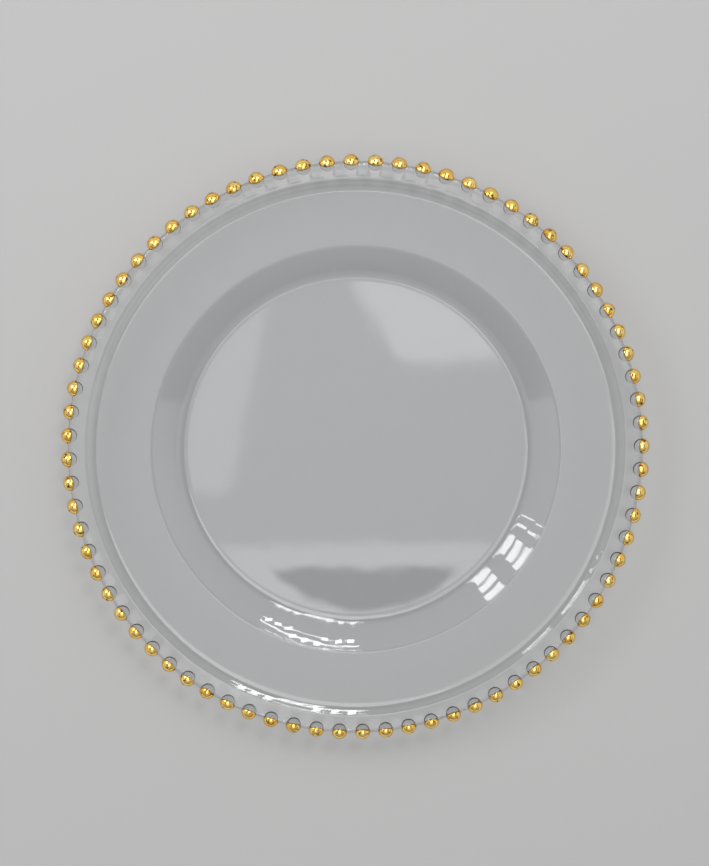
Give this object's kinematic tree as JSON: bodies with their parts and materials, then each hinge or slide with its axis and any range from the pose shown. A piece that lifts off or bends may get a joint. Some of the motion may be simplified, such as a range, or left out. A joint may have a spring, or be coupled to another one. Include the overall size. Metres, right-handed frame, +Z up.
{
  "type": "charger plate",
  "caption": "Round clear glass charger plate with a flat well, a wide flange, a shallow stepped lip and a rim of gilded glass beads, for setting under a dinner plate.",
  "frame": {"origin": "middle of the flat face that the plate rests on", "axes": "+Z up through the middle of the plate, +X through the middle of one bead"},
  "size_m": [0.33, 0.33, 0.0231],
  "materials": {
    "clear_glass": "clear, fire-polished",
    "bead_glass": "clear, fire-polished",
    "gilding": "mirror-bright gold, fired on thin"
  },
  "bodies": {
    "root": {"plate_body": "clear_glass", "rim_beads": "bead_glass", "gold_caps": "gilding"}
  },
  "joints": []
}
